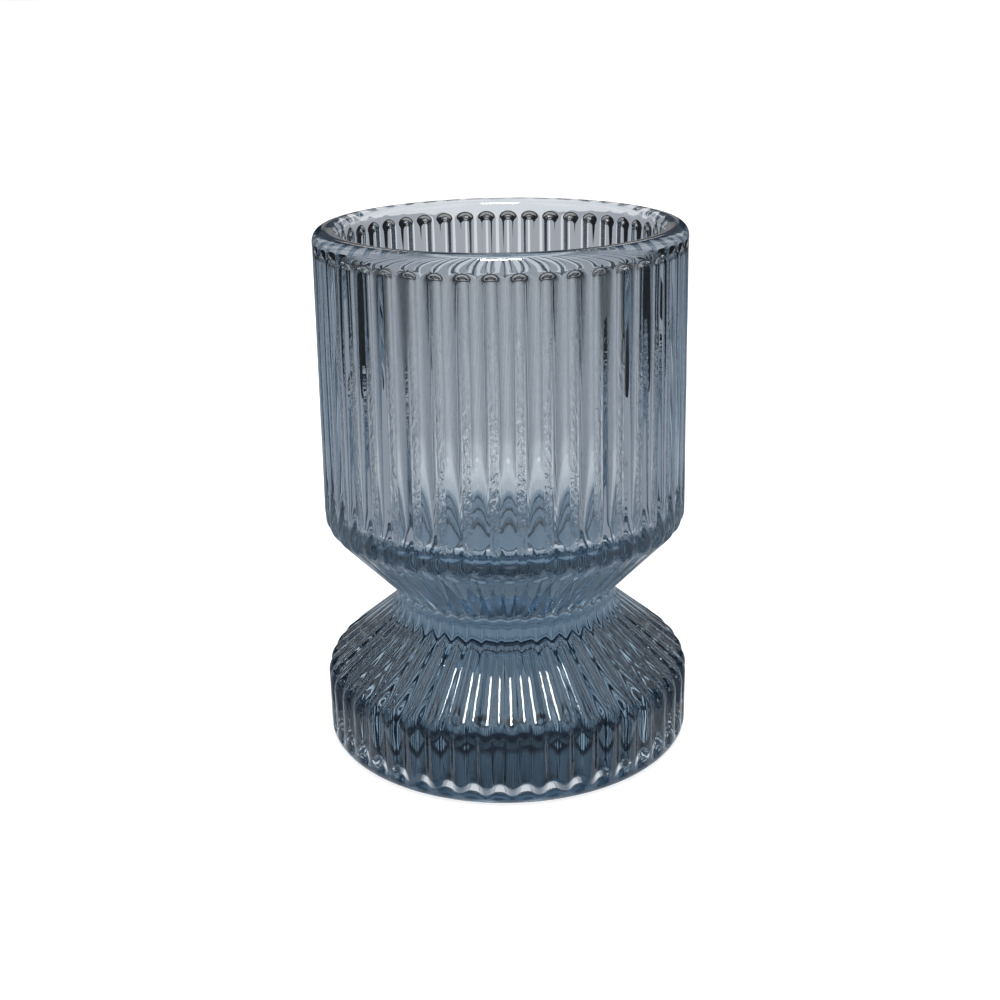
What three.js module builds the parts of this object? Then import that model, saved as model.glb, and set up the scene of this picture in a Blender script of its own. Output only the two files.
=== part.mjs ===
// A small footed vase of thick pressed glass: a straight fluted cup on a solid fluted foot.
// The two are pressed apart and fused at the waist, so each is a solid of its own here.
// Millimetres, +Z up. The origin is the centre of the foot's resting face.
import * as THREE from "three";

// Driving dimensions
const HEIGHT = 102.5;
const MOUTH_RADIUS = 35; // outside of the rim, over the rib crests
const CUP_END_RADIUS = 35.6; // the cup's outside where it turns in above the waist
const FOOT_RADIUS = 36.7;
const FLUTES = 46;
const FIRST_FLUTE = -0.37; // of a flute's pitch, counterclockwise from -Y
const GROOVE_SHARE = 0.43; // of the pitch; the rest is the rib
const FLUTE_SLOPE = (44 * Math.PI) / 180; // where the round groove turns into the round rib

// Cup
const WALL = 4.9; // at the rim, from a rib's crest to the inside
const RIM_ROUND = 2.3;
const INSIDE_DRAFT = 1.2; // how much narrower the inside is at the floor than at the mouth
const FLOOR_Z = 44.4;
const FLOOR_ROUND = 8;
const CUP_TURN_Z = 45.7; // where the straight side would meet the cone under it
const CUP_TURN_ROUND = 4;

// Waist
const WAIST_Z = 28.7;
const WAIST_CORNER_RADIUS = 19.7; // where the cup's cone and the foot's slope would meet
const WAIST_ROUND = 5;

// Foot
const SHOULDER_Z = 14.6; // where the slope would meet the upright side
const SHOULDER_ROUND = 4.7;
const BASE_ROUND = 2;
const RING_INSIDE = 31; // inner radius of the ring that the vase rests on
const RECESS_RADIUS = 29;
const RECESS_TOP = 1.2;
const RECESS_ROUND = 1;

// The flutes run out in short ends under the rim and above the resting face.
const PLAIN_RIM = 2.7;
const PLAIN_BASE = 1.4;
const FLUTE_END = 1.6;

// Mesh fineness: of the columns of points in each flute, the first is the groove's bottom line.
const COLUMNS_PER_FLUTE = 4;
const SEGMENTS = FLUTES * COLUMNS_PER_FLUTE;
const ARC_STEP = Math.PI / 7;

const GLASS = { color: 0x8fa5b6, roughness: 0.05, metalness: 0 };

const point = (radius, z) => new THREE.Vector2(radius, z);

// The points of an outline. Each corner is [radius, height, round], and a round becomes points on its arc.
function outlineOf(...corners) {
  return corners.flatMap(([radius, z, round], i) => {
    const at = point(radius, z);
    return round ? arcAt(at, point(...corners[i - 1]), point(...corners[i + 1]), round) : [at];
  });
}

// Points on the arc of a radius that touches both sides of a corner.
function arcAt(at, previous, next, round) {
  const toPrevious = previous.clone().sub(at).normalize();
  const toNext = next.clone().sub(at).normalize();
  const halfCorner = Math.acos(toPrevious.dot(toNext)) / 2;
  const middle = toPrevious.clone().add(toNext).normalize();
  const centre = at.clone().addScaledVector(middle, round / Math.sin(halfCorner));
  const start = at.clone().addScaledVector(toPrevious, round / Math.tan(halfCorner)).sub(centre);
  const side = Math.sign(toPrevious.cross(toNext));
  const sweep = -side * (Math.PI - 2 * halfCorner);
  const steps = Math.max(2, Math.round(Math.abs(sweep) / ARC_STEP));
  const origin = point(0, 0);
  return Array.from({ length: steps + 1 }, (_, k) =>
    start.clone().rotateAround(origin, (sweep * k) / steps).add(centre),
  );
}

// How deep a flute is at a share of the pitch from the groove's bottom line, at the mouth's radius.
// A groove and a rib are arcs that meet at the slope. The depth shrinks with the radius towards the waist.
function fluteDepth(share) {
  const pitch = (2 * Math.PI * MOUTH_RADIUS) / FLUTES;
  const grooveHalf = (GROOVE_SHARE * pitch) / 2;
  const ribHalf = pitch / 2 - grooveHalf;
  const grooveRound = grooveHalf / Math.sin(FLUTE_SLOPE);
  const ribRound = ribHalf / Math.sin(FLUTE_SLOPE);
  const x = Math.min(share, 1 - share) * pitch;
  if (x > grooveHalf) return ribRound - Math.sqrt(ribRound ** 2 - (pitch / 2 - x) ** 2);
  const deepest = (grooveRound + ribRound) * (1 - Math.cos(FLUTE_SLOPE));
  return deepest - grooveRound + Math.sqrt(grooveRound ** 2 - x ** 2);
}

// How much of its full depth a flute has at a height.
function fluteShare(z) {
  const fromBase = THREE.MathUtils.smoothstep(z, PLAIN_BASE, PLAIN_BASE + FLUTE_END);
  const fromRim = THREE.MathUtils.smoothstep(HEIGHT - z, PLAIN_RIM, PLAIN_RIM + FLUTE_END);
  return fromBase * fromRim;
}

// Turns a closed outline about the axis. The points in fluted are pressed in by the flute's section.
function turnedGlass(name, { before, fluted, after }) {
  const outline = [...before, ...fluted, ...after];
  const geometry = new THREE.LatheGeometry(outline, SEGMENTS);
  const position = geometry.getAttribute("position");
  for (let column = 0; column <= SEGMENTS; column++) {
    const depth = fluteDepth((column % COLUMNS_PER_FLUTE) / COLUMNS_PER_FLUTE);
    fluted.forEach(({ y: z }, row) => {
      const shrink = 1 - (depth / MOUTH_RADIUS) * fluteShare(z);
      const i = column * outline.length + before.length + row;
      position.setX(i, position.getX(i) * shrink);
      position.setZ(i, position.getZ(i) * shrink);
    });
  }
  geometry.rotateX(Math.PI / 2);
  geometry.rotateZ((FIRST_FLUTE * 2 * Math.PI) / FLUTES);
  geometry.computeVertexNormals();
  const mesh = new THREE.Mesh(geometry, new THREE.MeshStandardMaterial(GLASS));
  mesh.name = name;
  return mesh;
}

// The whole outside over the rib crests, from the resting face up to the rim's outer round.
const outside = outlineOf(
  [RING_INSIDE, 0],
  [FOOT_RADIUS, 0, BASE_ROUND],
  [FOOT_RADIUS, SHOULDER_Z, SHOULDER_ROUND],
  [WAIST_CORNER_RADIUS, WAIST_Z, WAIST_ROUND],
  [CUP_END_RADIUS, CUP_TURN_Z, CUP_TURN_ROUND],
  [MOUTH_RADIUS, HEIGHT - PLAIN_RIM - FLUTE_END],
  [MOUTH_RADIUS, HEIGHT - PLAIN_RIM],
  [MOUTH_RADIUS, HEIGHT, RIM_ROUND],
  [MOUTH_RADIUS - WALL, HEIGHT],
).slice(1, -1);

// The outside's radius at a height between two of its points.
function outsideRadius(z) {
  const above = outside.findIndex((p) => p.y > z);
  const [low, high] = [outside[above - 1], outside[above]];
  return THREE.MathUtils.mapLinear(z, low.y, high.y, low.x, high.x);
}

const waist = point(outsideRadius(WAIST_Z), WAIST_Z);

function makeCup() {
  const inside = outlineOf(
    [MOUTH_RADIUS, HEIGHT],
    [MOUTH_RADIUS - WALL, HEIGHT, RIM_ROUND],
    [MOUTH_RADIUS - WALL - INSIDE_DRAFT, FLOOR_Z, FLOOR_ROUND],
    [0, FLOOR_Z],
  ).slice(1);
  return turnedGlass("cup", {
    before: [point(0, WAIST_Z)],
    fluted: [waist, ...outside.filter((p) => p.y > WAIST_Z)],
    after: inside,
  });
}

function makeFoot() {
  const underside = outlineOf(
    [0, RECESS_TOP],
    [RECESS_RADIUS, RECESS_TOP, RECESS_ROUND],
    [RING_INSIDE, 0],
  );
  return turnedGlass("foot", {
    before: underside,
    fluted: [...outside.filter((p) => p.y < WAIST_Z), waist],
    after: [point(0, WAIST_Z)],
  });
}

const vase = new THREE.Group();
vase.add(makeCup(), makeFoot());
export default vase;
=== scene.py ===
"""A small footed vase of fluted blue-grey pressed glass, on a pale floor in soft studio light.

Metres, +Z up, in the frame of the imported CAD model. The vase is one closed skin of glass, because its two
pressings are fused at the waist and light sees no joint there.
"""

import math

import bpy
import numpy as np
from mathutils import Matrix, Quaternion, Vector


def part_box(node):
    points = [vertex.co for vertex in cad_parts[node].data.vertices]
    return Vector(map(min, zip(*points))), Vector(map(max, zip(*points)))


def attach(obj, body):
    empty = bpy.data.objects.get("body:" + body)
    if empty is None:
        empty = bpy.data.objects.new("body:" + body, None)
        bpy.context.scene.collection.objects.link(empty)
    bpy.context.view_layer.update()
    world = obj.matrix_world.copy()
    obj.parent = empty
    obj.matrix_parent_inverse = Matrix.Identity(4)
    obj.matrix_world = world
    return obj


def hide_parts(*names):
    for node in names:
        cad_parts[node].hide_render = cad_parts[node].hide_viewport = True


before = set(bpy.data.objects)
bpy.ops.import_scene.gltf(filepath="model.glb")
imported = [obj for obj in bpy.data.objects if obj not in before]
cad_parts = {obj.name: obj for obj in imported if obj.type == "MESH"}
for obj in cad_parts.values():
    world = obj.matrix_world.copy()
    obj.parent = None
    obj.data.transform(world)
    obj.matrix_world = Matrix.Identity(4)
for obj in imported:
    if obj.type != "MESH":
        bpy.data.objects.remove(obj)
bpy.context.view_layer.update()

MM = 0.001

# From the CAD model
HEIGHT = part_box("cup")[1].z
WAIST_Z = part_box("foot")[1].z

# The outline over the rib crests, as in the CAD model
MOUTH_RADIUS = 35 * MM
CUP_END_RADIUS = 35.6 * MM
FOOT_RADIUS = 36.7 * MM
WALL = 4.9 * MM
RIM_ROUND = 2.3 * MM
INSIDE_DRAFT = 1.2 * MM
FLOOR_Z = 44.4 * MM
FLOOR_ROUND = 8 * MM
CUP_TURN_Z = 45.7 * MM
CUP_TURN_ROUND = 4 * MM
WAIST_CORNER_RADIUS = 19.7 * MM
WAIST_ROUND = 5 * MM
SHOULDER_Z = 14.6 * MM
SHOULDER_ROUND = 4.7 * MM
BASE_ROUND = 2 * MM
RING_INSIDE = 31 * MM
RECESS_RADIUS = 29 * MM
RECESS_TOP = 1.2 * MM
RECESS_ROUND = 1 * MM

# Flutes: round grooves and round ribs that meet at one slope
FLUTES = 46
FIRST_FLUTE = -0.37
GROOVE_SHARE = 0.43
FLUTE_SLOPE = math.radians(44)
PLAIN_RIM = 2.7 * MM
PLAIN_BASE = 1.2 * MM
FLUTE_END = 1.9 * MM
FLUTE_END_ROWS = 7
PITCH = 2 * math.pi * MOUTH_RADIUS / FLUTES

# Mesh fineness
COLUMNS_PER_FLUTE = 14
ARC_STEP = 0.18
GUARD = 0.4 * MM
LONGEST_UNDER = 30 * MM
LONGEST_OUTSIDE = 7 * MM
LONGEST_INSIDE = 14 * MM

# The hand-made unevenness of pressed glass
WAVES = 24
WAVE_HEIGHT = 0.012 * MM
WAVES_AROUND = (6, 40)
RADIANS_PER_METRE = (100, 900)
OUTSIDE_SEED = 3
INSIDE_SEED = 5
# The waves start at CALM_BASE and are full a stretch of BASE_FADE higher. They fade out again towards the
# rim and the axis.
CALM_BASE = 4 * MM
BASE_FADE = 8 * MM
RIM_FADE = 6 * MM
AXIS_FADE = 10 * MM

# Fine wrinkles where the mould's ridges chilled the glass: in the grooves, on the outside of the cup.
# Each pair says where they fade in or out.
CHILL_HEIGHT = 0.5 * MM
CHILL_SCALE = 1700.0
CHILL_DETAIL = 2.0
CHILL_ROUGHNESS = 0.55
CHILL_STRETCH = (1, 1, 0.45)
CHILL_GROOVE = (0.35, 0.75)
CHILL_OUTER = (31.5 * MM, 32.5 * MM)
CHILL_LOW = (47 * MM, 52 * MM)
CHILL_HIGH = (HEIGHT - 32 * MM, HEIGHT - 10 * MM)

# Glass
IOR = 1.51
TINT = (0.25, 0.425, 0.55, 1)
TINT_DENSITY = 40

# What only the glass sees: grey cards under it, each on the one before, one of them painted shadow, and a
# dark room with pale boards
TABLE_X = 0.24
TABLE_FRONT = -0.22
TABLE_BACK = 0.9
TABLE_GREY = (0.42, 0.44, 0.48, 1)
MIDDLE_X = 0.05
MIDDLE_WHITE = (0.80, 0.82, 0.85, 1)
# The shade card is painted shadow: a dark sheet in front of the foot, on the camera's side, that stands for
# the shade on the table there
SHADE_X = 0.10
SHADE_BACK = -0.038
SHADE_GREY = (0.16, 0.17, 0.19, 1)
CARD_DROP = 0.15 * MM
CARD_STEP = 0.03 * MM
DARK = (0.012, 0.013, 0.015, 1)
WALL_GREY = (0.10, 0.10, 0.11, 1)
CEILING_GREY = (0.12, 0.12, 0.13, 1)
WALL_FOOT = 10
CEILING_FOOT = 42
PAST_UPRIGHT = 91
SOFT_EDGE = 1.0
BOARD_WARMTH = (1, 0.99, 0.97)
LAMP_PLACE = (0, -0.3, 1.1)
LAMP_AIM = (0, 0, 0.03)
LAMP_SIZE = 0.30
LAMP_WATTS = 9
# Each board: bearing of its middle, width, lower and upper height, all in degrees, and brightness.
# Bearing 0 is straight behind the vase. Every other board stands on the left and on the right.
BOARDS = [
    (0, 4, 18, 36, 1.3),
    (10, 6, 18, 36, 1.6),
    (14, 20, 45, 70, 1.4),
    (32, 8, 8, 28, 0.9),
    (50, 8, 8, 58, 1.1),
    (68, 14, 8, 58, 1.2),
    (120, 50, 42, 75, 1.1),
    (0, 20, -3, 9, 0.35),
    (146, 108, -35, 8, 0.13),
]

# What only the camera sees
FLOOR_GLOW = 0.75
FLOOR_HALF = 40
FLOOR_DROP = 0.05 * MM
BACKDROP = (0.95, 0.95, 0.95, 1)

CAMERA_DISTANCE = 7.597 * MOUTH_RADIUS
CAMERA_HEIGHT = 4.104 * MOUTH_RADIUS
CAMERA_PITCH = math.radians(19.86)
CAMERA_YAW = math.radians(0.2)
CAMERA_ROLL = math.radians(1.01)
SENSOR = 36
LENS = 1.42 * SENSOR


def arc_corner(before, at, after, round_radius):
    """Points on the arc that touches both sides of a corner of an outline."""
    before, at, after = (np.array(p, float) for p in (before, at, after))
    u = (before - at) / np.linalg.norm(before - at)
    v = (after - at) / np.linalg.norm(after - at)
    half = math.acos(float(u @ v)) / 2
    centre = at + (u + v) / np.linalg.norm(u + v) * round_radius / math.sin(half)
    start = at + u * round_radius / math.tan(half) - centre
    side = np.sign(u[0] * v[1] - u[1] * v[0])
    sweep = -side * (math.pi - 2 * half)
    steps = max(2, round(abs(sweep) / ARC_STEP))
    points = []
    for k in range(steps + 1):
        c, s = math.cos(sweep * k / steps), math.sin(sweep * k / steps)
        points.append(centre + (start[0] * c - start[1] * s, start[0] * s + start[1] * c))
    return points


def outline_of(corners):
    """Each corner is (radius, height) or (radius, height, round)."""
    points = []
    for i, corner in enumerate(corners):
        if len(corner) == 3:
            points += arc_corner(corners[i - 1][:2], corner[:2], corners[i + 1][:2], corner[2])
        else:
            points.append(np.array(corner, float))
    return points


def with_rows(points, longest):
    """Adds rows to straight runs, and one close to each end of a run, so that shading stays true there."""
    rows = [points[0]]
    for a, b in zip(points[:-1], points[1:]):
        length = np.linalg.norm(b - a)
        cuts = [1]
        if length > 4 * GUARD:
            n = max(1, math.ceil(length / longest))
            cuts = [GUARD / length] + [k / n for k in range(1, n)] + [1 - GUARD / length, 1]
        rows += [a + (b - a) * c for c in cuts]
    return rows


UNDERSIDE = outline_of(
    [
        (0, RECESS_TOP),
        (RECESS_RADIUS, RECESS_TOP, RECESS_ROUND),
        (RING_INSIDE, 0),
    ]
)
GROOVE_TOP = HEIGHT - PLAIN_RIM
OUTSIDE = outline_of(
    [
        (RING_INSIDE, 0),
        (FOOT_RADIUS, 0, BASE_ROUND),
        (FOOT_RADIUS, SHOULDER_Z, SHOULDER_ROUND),
        (WAIST_CORNER_RADIUS, WAIST_Z, WAIST_ROUND),
        (CUP_END_RADIUS, CUP_TURN_Z, CUP_TURN_ROUND),
        (MOUTH_RADIUS, GROOVE_TOP - FLUTE_END),
        *[
            (MOUTH_RADIUS, GROOVE_TOP - FLUTE_END * (1 - k / FLUTE_END_ROWS))
            for k in range(1, FLUTE_END_ROWS + 1)
        ],
        (MOUTH_RADIUS, HEIGHT, RIM_ROUND),
        (MOUTH_RADIUS - WALL, HEIGHT),
    ]
)[1:-1]
INSIDE = outline_of(
    [
        (MOUTH_RADIUS, HEIGHT),
        (MOUTH_RADIUS - WALL, HEIGHT, RIM_ROUND),
        (MOUTH_RADIUS - WALL - INSIDE_DRAFT, FLOOR_Z, FLOOR_ROUND),
        (0, FLOOR_Z),
    ]
)[1:]


def flute_section(x):
    """How deep the section is at x from a groove's middle line, both in metres at the mouth's radius."""
    groove_half = GROOVE_SHARE * PITCH / 2
    rib_half = PITCH / 2 - groove_half
    groove_round = groove_half / math.sin(FLUTE_SLOPE)
    rib_round = rib_half / math.sin(FLUTE_SLOPE)
    depth = (groove_round + rib_round) * (1 - math.cos(FLUTE_SLOPE))
    x = np.clip(np.abs(x), 0, PITCH / 2)
    in_groove = depth - groove_round + np.sqrt(np.maximum(groove_round**2 - x**2, 0))
    in_rib = rib_round - np.sqrt(np.maximum(rib_round**2 - (PITCH / 2 - x) ** 2, 0))
    return np.where(x < groove_half, in_groove, in_rib)


def flute_depth(u, z):
    """Depth at u, in flutes from a groove's middle, and height z. A groove's ends are rounded."""
    above = np.maximum(z - (GROOVE_TOP - FLUTE_END), 0)
    below = np.maximum(PLAIN_BASE + FLUTE_END - z, 0)
    past = (above + below) / FLUTE_END * PITCH / 2
    return flute_section(np.hypot(u * PITCH, past))


def unevenness(turn, z, seed):
    """A slow wave over a surface, the same each run."""
    rng = np.random.default_rng(seed)
    total = np.zeros(np.broadcast(turn, z).shape)
    for _ in range(WAVES):
        around = int(rng.integers(*WAVES_AROUND))
        along = rng.uniform(*RADIANS_PER_METRE)
        total += np.sin(around * turn + along * z + rng.uniform(0, 2 * math.pi))
    return total * WAVE_HEIGHT / math.sqrt(WAVES / 2)


def glass_skin():
    """The closed surface: rows along the outline from under the foot to the cup's floor, columns around."""
    underside = with_rows(UNDERSIDE, LONGEST_UNDER)
    outside = with_rows(OUTSIDE, LONGEST_OUTSIDE)
    inside = with_rows(INSIDE, LONGEST_INSIDE)
    outline = np.array(underside + outside + inside)
    fluted = np.zeros((len(outline), 1))
    fluted[len(underside) : len(underside) + len(outside)] = 1
    inner = np.zeros((len(outline), 1))
    inner[len(underside) + len(outside) :] = 1
    columns = FLUTES * COLUMNS_PER_FLUTE
    step = np.arange(columns) / COLUMNS_PER_FLUTE
    u = (step + 0.5) % 1 - 0.5
    turn = 2 * math.pi * (step + FIRST_FLUTE) / FLUTES
    radius, z = outline[:, :1], outline[:, 1:]
    pressed = fluted * flute_depth(u[None, :], z) / MOUTH_RADIUS
    r = radius * (1 - pressed)
    free = np.clip((z - CALM_BASE) / BASE_FADE, 0, 1) * np.clip(radius / AXIS_FADE, 0, 1)
    free = free * np.clip((HEIGHT - z) / RIM_FADE, 0, 1)
    outside_waves = unevenness(turn[None, :], z, OUTSIDE_SEED)
    inside_waves = unevenness(turn[None, :], z, INSIDE_SEED)
    r = r + free * (1 - inner) * outside_waves - free * inner * inside_waves
    # The outline's two ends lie on the axis, and are one vertex each
    count = len(outline) - 2
    across = np.broadcast_to(z, r.shape)
    grid = np.stack([r * np.sin(turn), -r * np.cos(turn), across], -1)[1:-1].reshape(-1, 3)
    vertices = [tuple(p) for p in grid] + [(0, 0, z[0, 0]), (0, 0, z[-1, 0])]
    low_centre, high_centre = count * columns, count * columns + 1
    faces = []
    for j in range(columns):
        k = (j + 1) % columns
        faces.append((low_centre, k, j))
        faces.append(((count - 1) * columns + j, (count - 1) * columns + k, high_centre))
        for i in range(count - 1):
            faces.append((i * columns + j, i * columns + k, (i + 1) * columns + k, (i + 1) * columns + j))
    mesh = bpy.data.meshes.new("vase_glass")
    mesh.from_pydata(vertices, [], faces)
    mesh.shade_smooth()
    mesh.validate()
    piece = bpy.data.objects.new("vase_glass", mesh)
    bpy.context.scene.collection.objects.link(piece)
    return piece


class Nodes:
    """Short ways to add and join the shader nodes of a material or the world."""

    def __init__(self, tree):
        self.tree = tree
        self.tree.nodes.clear()

    def add(self, kind, settings=None, **inputs):
        node = self.tree.nodes.new(kind)
        for name, value in (settings or {}).items():
            setattr(node, name, value)
        for name, value in inputs.items():
            self.put(node.inputs[name], value)
        return node

    def put(self, socket, value):
        if isinstance(value, bpy.types.NodeSocket):
            self.tree.links.new(value, socket)
        else:
            socket.default_value = value

    def maths(self, operation, *values):
        node = self.add("ShaderNodeMath", {"operation": operation})
        for socket, value in zip(node.inputs, values):
            self.put(socket, value)
        return node.outputs[0]

    def fade(self, value, low, high):
        """0 below low, 1 above high, and smooth between them."""
        node = self.add("ShaderNodeMapRange", {"interpolation_type": "SMOOTHSTEP"})
        self.put(node.inputs["Value"], value)
        node.inputs["From Min"].default_value = low
        node.inputs["From Max"].default_value = high
        return node.outputs[0]


def glass_material():
    material = bpy.data.materials.new("smoke_blue_glass")
    material.use_nodes = True
    n = Nodes(material.node_tree)
    place = n.add("ShaderNodeTexCoord").outputs["Object"]
    x, y, z = n.add("ShaderNodeSeparateXYZ", Vector=place).outputs
    # 1 along a groove's middle line, -1 along a rib's crest
    turn = n.maths("ARCTAN2", x, n.maths("MULTIPLY", y, -1))
    in_flutes = n.maths("SUBTRACT", n.maths("MULTIPLY", turn, FLUTES / (2 * math.pi)), FIRST_FLUTE)
    groove = n.maths("COSINE", n.maths("MULTIPLY", in_flutes, 2 * math.pi))
    radius = n.maths("SQRT", n.maths("ADD", n.maths("MULTIPLY", x, x), n.maths("MULTIPLY", y, y)))
    outer = n.fade(radius, *CHILL_OUTER)
    above = n.fade(z, *CHILL_LOW)
    below = n.maths("SUBTRACT", 1, n.fade(z, *CHILL_HIGH))
    chill_area = n.maths("MULTIPLY", n.fade(groove, *CHILL_GROOVE), n.maths("MULTIPLY", outer, above))
    chill_area = n.maths("MULTIPLY", chill_area, below)
    drawn = n.add("ShaderNodeMapping", Vector=place, Scale=CHILL_STRETCH).outputs[0]
    noise = n.add("ShaderNodeTexNoise", Vector=drawn, Scale=CHILL_SCALE)
    noise.inputs["Detail"].default_value = CHILL_DETAIL
    noise.inputs["Roughness"].default_value = CHILL_ROUGHNESS
    wrinkle = n.maths("MULTIPLY", noise.outputs[0], chill_area)
    bump = n.add("ShaderNodeBump", Strength=1.0, Distance=CHILL_HEIGHT, Height=wrinkle)
    shader = n.add("ShaderNodeBsdfPrincipled", Normal=bump.outputs[0])
    shader.inputs["Base Color"].default_value = (1, 1, 1, 1)
    shader.inputs["Transmission Weight"].default_value = 1
    shader.inputs["IOR"].default_value = IOR
    shader.inputs["Roughness"].default_value = 0.0
    depth = n.add("ShaderNodeVolumeAbsorption")
    depth.inputs["Color"].default_value = TINT
    depth.inputs["Density"].default_value = TINT_DENSITY
    n.add("ShaderNodeOutputMaterial", Surface=shader.outputs[0], Volume=depth.outputs[0])
    return material


def pale(name, glow):
    material = bpy.data.materials.new(name)
    material.use_nodes = True
    shader = material.node_tree.nodes["Principled BSDF"]
    shader.inputs["Base Color"].default_value = (0.8, 0.8, 0.8, 1)
    shader.inputs["Roughness"].default_value = 0.9
    shader.inputs["Specular IOR Level"].default_value = 0.0
    shader.inputs["Emission Color"].default_value = (1, 1, 1, 1)
    shader.inputs["Emission Strength"].default_value = glow
    return material


def shining(name, colour):
    material = bpy.data.materials.new(name)
    material.use_nodes = True
    n = Nodes(material.node_tree)
    n.add("ShaderNodeOutputMaterial", Surface=n.add("ShaderNodeEmission", Color=colour).outputs[0])
    return material


def sheet(name, half_width, front, back, height, material):
    mesh = bpy.data.meshes.new(name)
    corners = [(-half_width, front), (half_width, front), (half_width, back), (-half_width, back)]
    mesh.from_pydata([(x, y, height) for x, y in corners], [], [(0, 1, 2, 3)])
    mesh.materials.append(material)
    piece = bpy.data.objects.new(name, mesh)
    bpy.context.scene.collection.objects.link(piece)
    return piece


def softbox(name, place, aim, size, power):
    data = bpy.data.lights.new(name, "AREA")
    data.shape = "SQUARE"
    data.size = size
    data.energy = power
    lamp = bpy.data.objects.new(name, data)
    bpy.context.scene.collection.objects.link(lamp)
    lamp.location = place
    lamp.rotation_mode = "QUATERNION"
    lamp.rotation_quaternion = (Vector(aim) - Vector(place)).to_track_quat("-Z", "Y")


def studio():
    """A pale floor for the camera. For the glass: grey cards, one of them painted shadow, a dark room with
    pale boards, and a lamp.
    """
    floor = sheet("floor", FLOOR_HALF, -FLOOR_HALF, FLOOR_HALF, -FLOOR_DROP, pale("floor", FLOOR_GLOW))
    for ray in ("diffuse", "glossy", "transmission", "volume_scatter", "shadow"):
        setattr(floor, "visible_" + ray, False)
    cards = [
        ("card", TABLE_X, TABLE_FRONT, TABLE_BACK, TABLE_GREY),
        ("card_middle", MIDDLE_X, SHADE_BACK, TABLE_BACK, MIDDLE_WHITE),
        # Painted shadow: a dark card in front of the foot, where the table lies in shade
        ("card_shade", SHADE_X, TABLE_FRONT, SHADE_BACK, SHADE_GREY),
    ]
    for level, (name, half_width, front, back, colour) in enumerate(cards):
        lies_at = CARD_STEP * level - CARD_DROP
        sheet(name, half_width, front, back, lies_at, shining(name, colour)).visible_camera = False
    world = bpy.data.worlds.new("studio")
    bpy.context.scene.world = world
    world.use_nodes = True
    n = Nodes(world.node_tree)
    x, y, z = n.add("ShaderNodeSeparateXYZ", Vector=n.add("ShaderNodeTexCoord").outputs["Generated"]).outputs
    bearing = n.maths("MULTIPLY", n.maths("ARCTAN2", x, y), 180 / math.pi)
    height = n.maths("MULTIPLY", n.maths("ARCSINE", z), 180 / math.pi)

    def blend(part, below, above):
        mix = n.add("ShaderNodeMix", {"data_type": "RGBA"})
        n.put(mix.inputs[0], part)
        n.put(mix.inputs[6], below)
        n.put(mix.inputs[7], above)
        return mix.outputs[2]

    def between(value, low, high):
        rise = n.fade(value, low - SOFT_EDGE, low + SOFT_EDGE)
        fall = n.fade(value, high - SOFT_EDGE, high + SOFT_EDGE)
        return n.maths("SUBTRACT", rise, fall)

    room = blend(between(height, WALL_FOOT, PAST_UPRIGHT), DARK, WALL_GREY)
    room = blend(between(height, CEILING_FOOT, PAST_UPRIGHT), room, CEILING_GREY)
    for middle, width, low, high, glow in BOARDS:
        for side in (-1, 1) if middle else (1,):
            across = between(bearing, side * middle - width / 2, side * middle + width / 2)
            board = n.maths("MULTIPLY", across, between(height, low, high))
            room = blend(board, room, (*(glow * part for part in BOARD_WARMTH), 1))
    seen = n.add("ShaderNodeLightPath").outputs["Is Camera Ray"]
    room = blend(seen, room, BACKDROP)
    n.add("ShaderNodeOutputWorld", Surface=n.add("ShaderNodeBackground", Color=room).outputs[0])
    softbox("overhead", LAMP_PLACE, LAMP_AIM, LAMP_SIZE, LAMP_WATTS)


def camera():
    data = bpy.data.cameras.new("camera")
    data.sensor_width = SENSOR
    data.lens = LENS
    data.clip_start = 0.01
    cam = bpy.data.objects.new("camera", data)
    bpy.context.scene.collection.objects.link(cam)
    cam.location = (0, -CAMERA_DISTANCE, CAMERA_HEIGHT)
    level = Vector((-math.sin(CAMERA_YAW), math.cos(CAMERA_YAW), 0))
    forward = level * math.cos(CAMERA_PITCH) - Vector((0, 0, math.sin(CAMERA_PITCH)))
    cam.rotation_mode = "QUATERNION"
    cam.rotation_quaternion = forward.to_track_quat("-Z", "Y") @ Quaternion((0, 0, 1), -CAMERA_ROLL)
    bpy.context.scene.camera = cam


vase = glass_skin()
vase.data.materials.append(glass_material())
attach(vase, "root")
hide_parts("cup", "foot")
studio()
camera()

scene = bpy.context.scene
scene.view_settings.view_transform = "Standard"
scene.cycles.max_bounces = 32
scene.cycles.transmission_bounces = 32
scene.cycles.glossy_bounces = 12
scene.cycles.sample_clamp_indirect = 4
